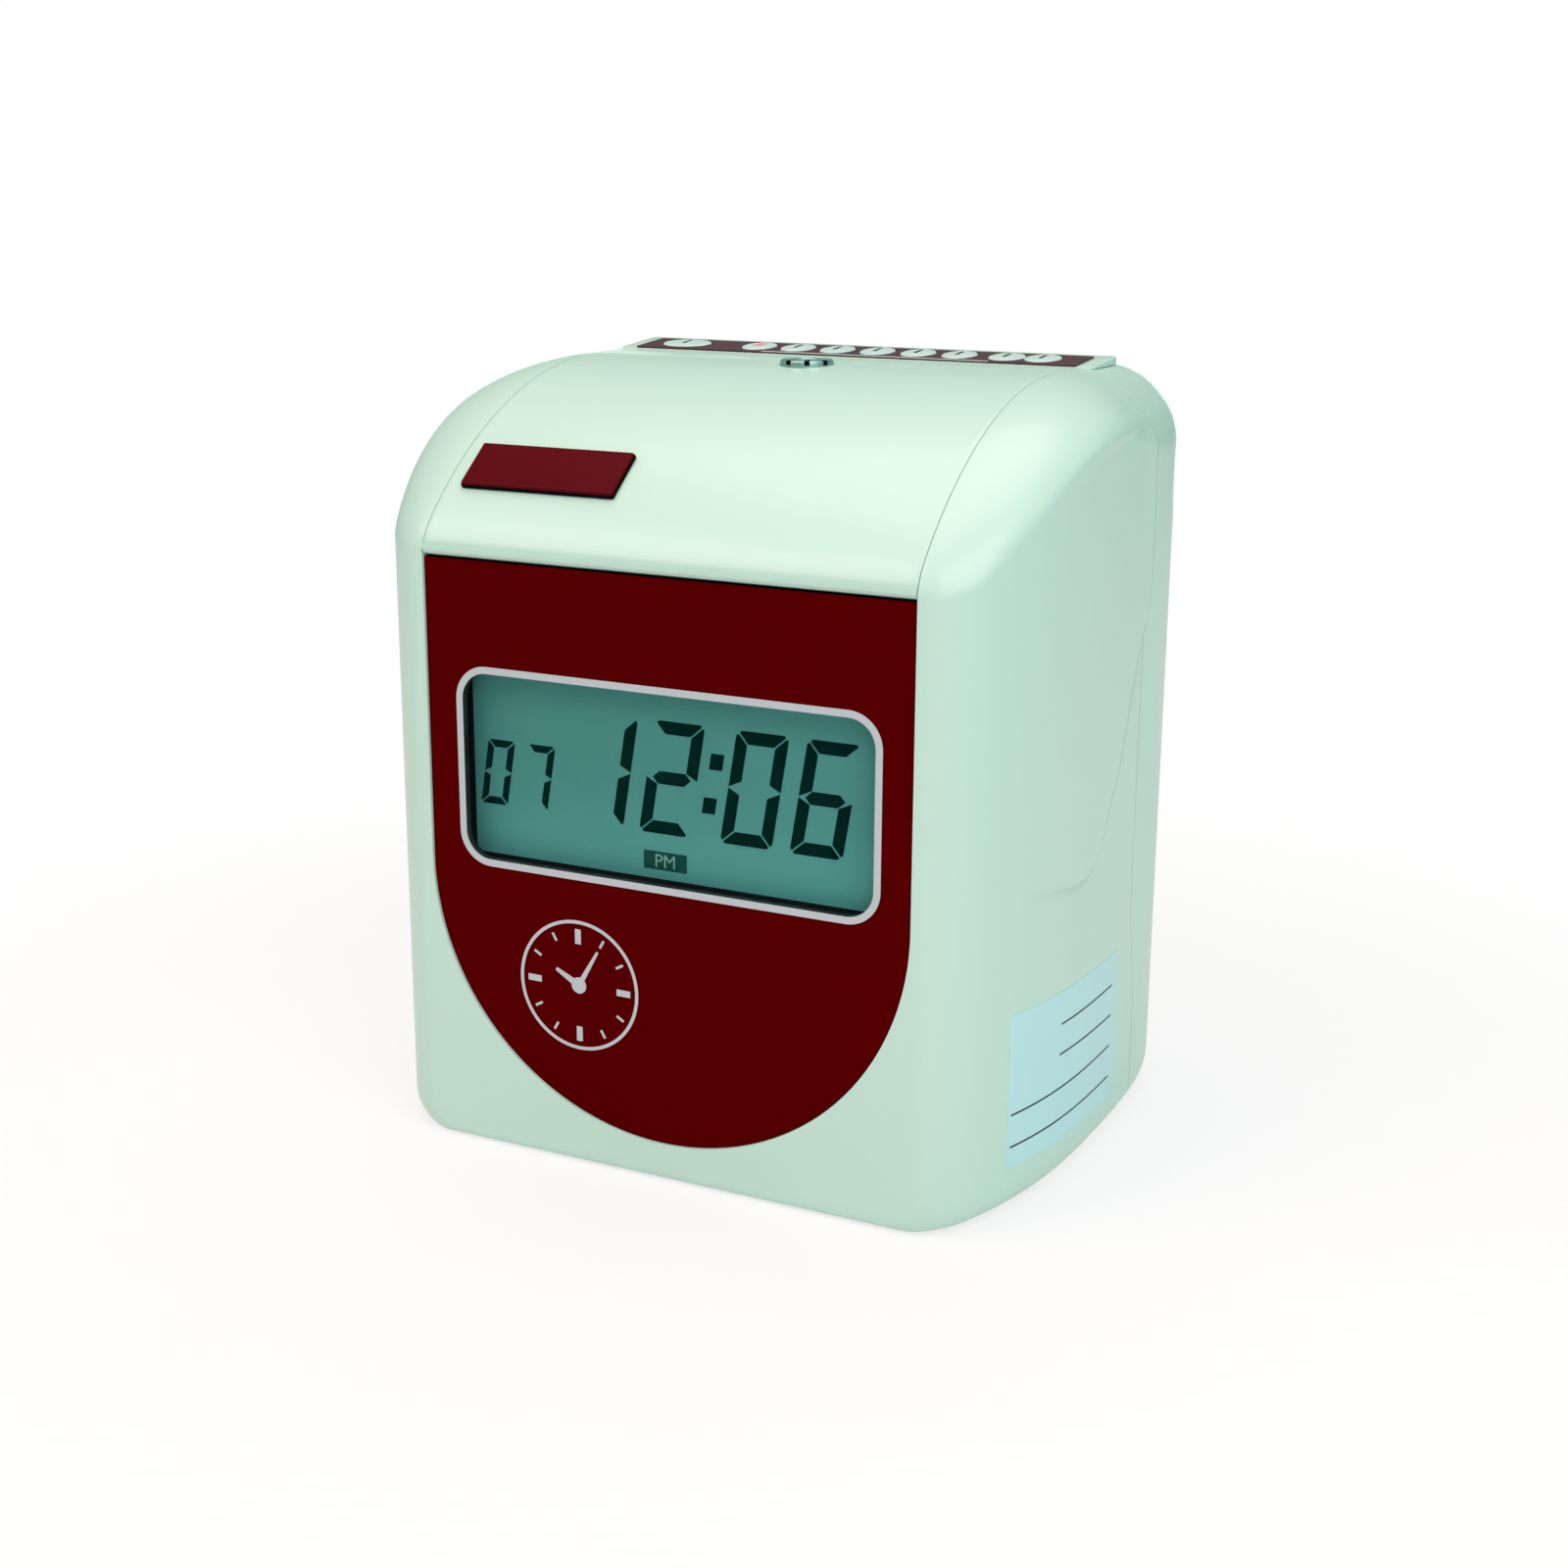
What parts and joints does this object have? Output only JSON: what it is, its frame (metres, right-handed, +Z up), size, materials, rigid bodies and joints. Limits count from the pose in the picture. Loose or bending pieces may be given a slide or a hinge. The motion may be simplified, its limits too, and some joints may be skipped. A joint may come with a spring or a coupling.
{
  "type": "time clock",
  "caption": "Desktop time recorder with a barrel-shaped casing, lift-up locking hood, display window, top keys and a card slot over a card printer.",
  "frame": {"origin": "centre of the footprint, on the surface that the feet stand on", "axes": "+Z up, the display faces -Y, +X to the right of someone who faces the display"},
  "size_m": [0.2028, 0.165, 0.2271],
  "materials": {
    "casing": "glossy moulded plastic, pale mint cream",
    "base_plastic": "plain moulded plastic",
    "foot_rubber": "matt black rubber",
    "screw_steel": "zinc plated",
    "lock_metal": "plated cam lock",
    "cam_steel": "plated steel strip",
    "badge": "domed dark red, bare",
    "label_film": "bare printed film",
    "panel_red": "glossy dark red",
    "print_pale": "pale printed line",
    "clear_lens": "clear window",
    "black_plastic": "black moulded plastic",
    "lcd": "reflective display glass",
    "circuit_board": "green circuit board",
    "key_film": "dark maroon key film",
    "key_plastic": "pale key caps",
    "plated_steel": "zinc plated sheet",
    "ground_steel": "ground rod",
    "roller_rubber": "black rubber",
    "white_plastic": "natural acetal",
    "motor_steel": "grey motor can",
    "head_metal": "dark cast head body",
    "core_iron": "varnished core and coil"
  },
  "bodies": {
    "root": {"front_housing": "casing", "back_cover": "casing", "base_plate": "base_plastic", "foot_front_left": "foot_rubber", "foot_front_right": "foot_rubber", "foot_back_left": "foot_rubber", "foot_back_right": "foot_rubber", "case_screw_1": "screw_steel", "case_screw_2": "screw_steel", "case_screw_3": "screw_steel", "case_screw_4": "screw_steel", "side_label": "label_film", "front_panel": "panel_red", "window_line": "print_pale", "window_lens": "clear_lens", "lcd_frame": "black_plastic", "lcd_glass": "lcd", "display_board": "circuit_board", "key_console": "casing", "key_film": "key_film", "key_board": "circuit_board", "card_throat": "casing", "card_guide_front": "plated_steel", "card_guide_back": "plated_steel", "platen": "roller_rubber", "side_plate_left": "plated_steel", "side_plate_right": "plated_steel", "bridge_plate": "plated_steel", "guide_rod_front": "ground_steel", "guide_rod_back": "ground_steel", "carriage_belt": "roller_rubber", "carriage_motor": "motor_steel", "feed_motor": "motor_steel", "ribbon_cartridge": "black_plastic", "power_transformer": "core_iron", "main_board": "circuit_board", "mains_inlet": "black_plastic"},
    "lid": {"hood": "casing", "lock_body": "lock_metal", "badge_plate": "badge"},
    "lock": {"lock_plug": "lock_metal", "lock_cam": "cam_steel"},
    "key_1_body": {"key_1": "key_plastic"},
    "key_2_body": {"key_2": "key_plastic"},
    "key_3_body": {"key_3": "key_plastic"},
    "key_4_body": {"key_4": "key_plastic"},
    "key_5_body": {"key_5": "key_plastic"},
    "key_6_body": {"key_6": "key_plastic"},
    "key_7_body": {"key_7": "key_plastic"},
    "key_8_body": {"key_8": "key_plastic"},
    "key_9_body": {"key_9": "key_plastic"},
    "carriage": {"print_carriage": "black_plastic", "print_head": "head_metal"},
    "drive_pulley": {"belt_pulley_drive": "white_plastic"},
    "idler_pulley": {"belt_pulley_idler": "white_plastic"},
    "card_feed": {"feed_roller": "roller_rubber", "feed_gear": "white_plastic"},
    "feed_pinion_body": {"feed_pinion": "white_plastic"},
    "pinch": {"pinch_roller": "white_plastic"},
    "knob": {"ribbon_knob": "white_plastic"}
  },
  "joints": [
    {"name": "hood_hinge", "type": "hinge", "parent": "root", "child": "lid", "pos_m": [0, -0.0793, 0.17788], "axis": [1, 0, 0], "range_deg": [0, 80]},
    {"name": "lock_turn", "type": "hinge", "parent": "lid", "child": "lock", "pos_m": [0, 0.0079, 0.2115], "axis": [0, 0, 1], "range_deg": [0, 90]},
    {"name": "key_1_press", "type": "slide", "parent": "root", "child": "key_1_body", "axis": [0, 0, -1], "range_m": [0, 0.001], "stiffness_N_per_m": 300},
    {"name": "key_2_press", "type": "slide", "parent": "root", "child": "key_2_body", "axis": [0, 0, -1], "range_m": [0, 0.001], "stiffness_N_per_m": 300},
    {"name": "key_3_press", "type": "slide", "parent": "root", "child": "key_3_body", "axis": [0, 0, -1], "range_m": [0, 0.001], "stiffness_N_per_m": 300},
    {"name": "key_4_press", "type": "slide", "parent": "root", "child": "key_4_body", "axis": [0, 0, -1], "range_m": [0, 0.001], "stiffness_N_per_m": 300},
    {"name": "key_5_press", "type": "slide", "parent": "root", "child": "key_5_body", "axis": [0, 0, -1], "range_m": [0, 0.001], "stiffness_N_per_m": 300},
    {"name": "key_6_press", "type": "slide", "parent": "root", "child": "key_6_body", "axis": [0, 0, -1], "range_m": [0, 0.001], "stiffness_N_per_m": 300},
    {"name": "key_7_press", "type": "slide", "parent": "root", "child": "key_7_body", "axis": [0, 0, -1], "range_m": [0, 0.001], "stiffness_N_per_m": 300},
    {"name": "key_8_press", "type": "slide", "parent": "root", "child": "key_8_body", "axis": [0, 0, -1], "range_m": [0, 0.001], "stiffness_N_per_m": 300},
    {"name": "key_9_press", "type": "slide", "parent": "root", "child": "key_9_body", "axis": [0, 0, -1], "range_m": [0, 0.001], "stiffness_N_per_m": 300},
    {"name": "carriage_slide", "type": "slide", "parent": "root", "child": "carriage", "axis": [1, 0, 0], "range_m": [-0.032, 0.032]},
    {"name": "drive_pulley_turn", "type": "hinge", "parent": "root", "child": "drive_pulley", "pos_m": [0.053, 0.0295, 0.1415], "axis": [0, 1, 0], "range_deg": [-271, 271]},
    {"name": "idler_pulley_turn", "type": "hinge", "parent": "root", "child": "idler_pulley", "pos_m": [-0.053, 0.0295, 0.1415], "axis": [0, 1, 0], "range_deg": [-271, 271]},
    {"name": "feed_turn", "type": "hinge", "parent": "root", "child": "card_feed", "pos_m": [0, 0.0599, 0.1195], "axis": [1, 0, 0], "continuous": true},
    {"name": "feed_pinion_turn", "type": "hinge", "parent": "root", "child": "feed_pinion_body", "pos_m": [0.06, 0.0379, 0.1195], "axis": [1, 0, 0], "continuous": true},
    {"name": "pinch_turn", "type": "hinge", "parent": "root", "child": "pinch", "pos_m": [0, 0.073, 0.1195], "axis": [1, 0, 0], "continuous": true},
    {"name": "ribbon_knob_turn", "type": "hinge", "parent": "root", "child": "knob", "pos_m": [0.038, 0.0015, 0.1835], "axis": [0, 0, 1], "continuous": true}
  ],
  "couplings": [
    {"joint": "drive_pulley_turn", "follows": "carriage_slide", "rad_per_m": 145.99},
    {"joint": "idler_pulley_turn", "follows": "carriage_slide", "rad_per_m": 145.99},
    {"joint": "feed_pinion_turn", "follows": "feed_turn", "ratio": -2.6667},
    {"joint": "pinch_turn", "follows": "feed_turn", "ratio": -1.2727}
  ]
}
